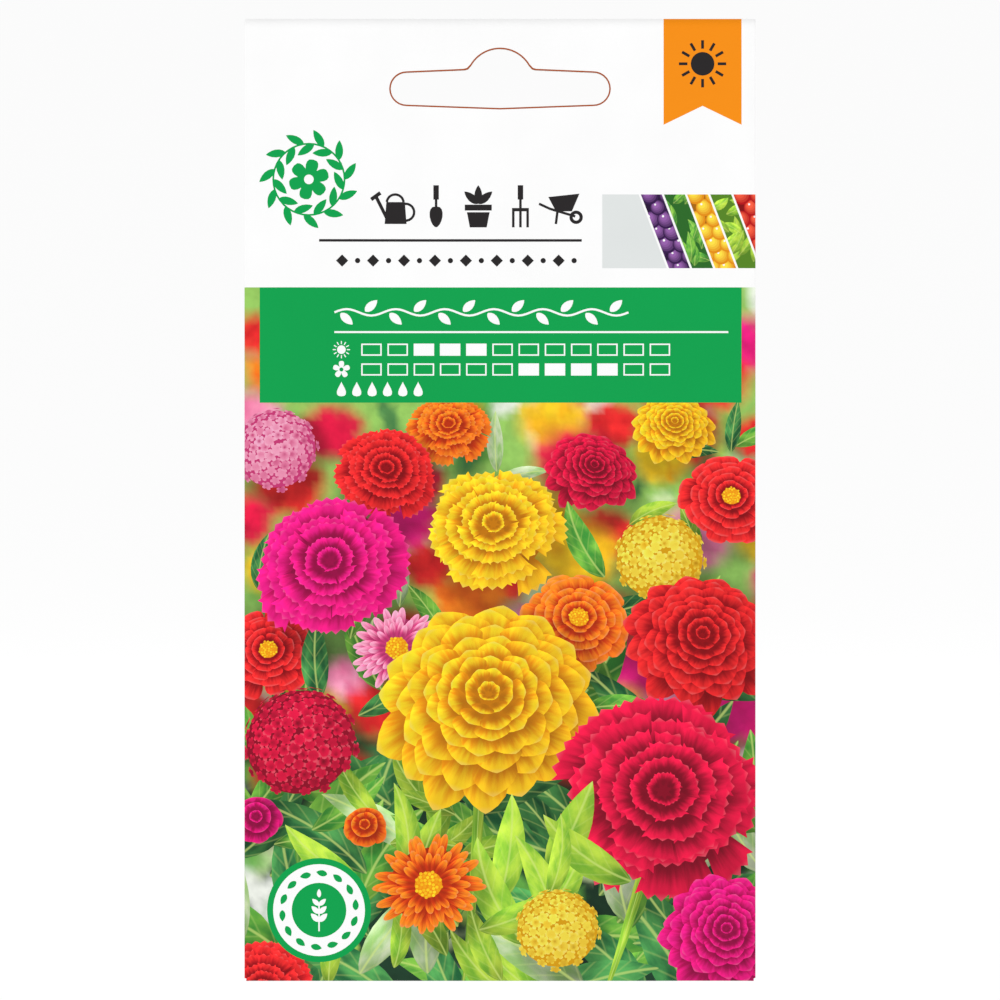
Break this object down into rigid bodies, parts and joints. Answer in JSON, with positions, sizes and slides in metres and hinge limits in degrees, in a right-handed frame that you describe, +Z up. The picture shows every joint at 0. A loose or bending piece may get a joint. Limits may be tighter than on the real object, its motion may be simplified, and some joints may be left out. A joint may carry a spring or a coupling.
{
  "type": "seed packet",
  "caption": "Flat, upright paper seed packet with a euro hang slot in its plain header, a foil sachet of seeds inside and a printed flower-garden front.",
  "frame": {"origin": "where the peg bears: the top of the hang slot's arch, midway through the thickness", "axes": "+X to the right as the printed front is seen, +Y from the front to the back, +Z up"},
  "size_m": [0.08, 0.0031, 0.1506],
  "materials": {
    "printed_paper": "satin",
    "foil": "satin",
    "seed_coat": "gloss"
  },
  "bodies": {
    "root": {"envelope": "printed_paper", "foil_front": "foil", "foil_back": "foil", "seed_01": "seed_coat", "seed_02": "seed_coat", "seed_03": "seed_coat", "seed_04": "seed_coat", "seed_05": "seed_coat", "seed_06": "seed_coat", "seed_07": "seed_coat", "seed_08": "seed_coat", "seed_09": "seed_coat", "seed_10": "seed_coat", "seed_11": "seed_coat", "seed_12": "seed_coat", "seed_13": "seed_coat", "seed_14": "seed_coat", "seed_15": "seed_coat", "seed_16": "seed_coat", "seed_17": "seed_coat", "seed_18": "seed_coat", "seed_19": "seed_coat", "seed_20": "seed_coat", "seed_21": "seed_coat", "seed_22": "seed_coat", "seed_23": "seed_coat", "seed_24": "seed_coat", "seed_25": "seed_coat", "seed_26": "seed_coat", "seed_27": "seed_coat", "seed_28": "seed_coat", "seed_29": "seed_coat", "seed_30": "seed_coat", "seed_31": "seed_coat", "seed_32": "seed_coat", "seed_33": "seed_coat", "seed_34": "seed_coat", "seed_35": "seed_coat", "seed_36": "seed_coat"}
  },
  "joints": []
}
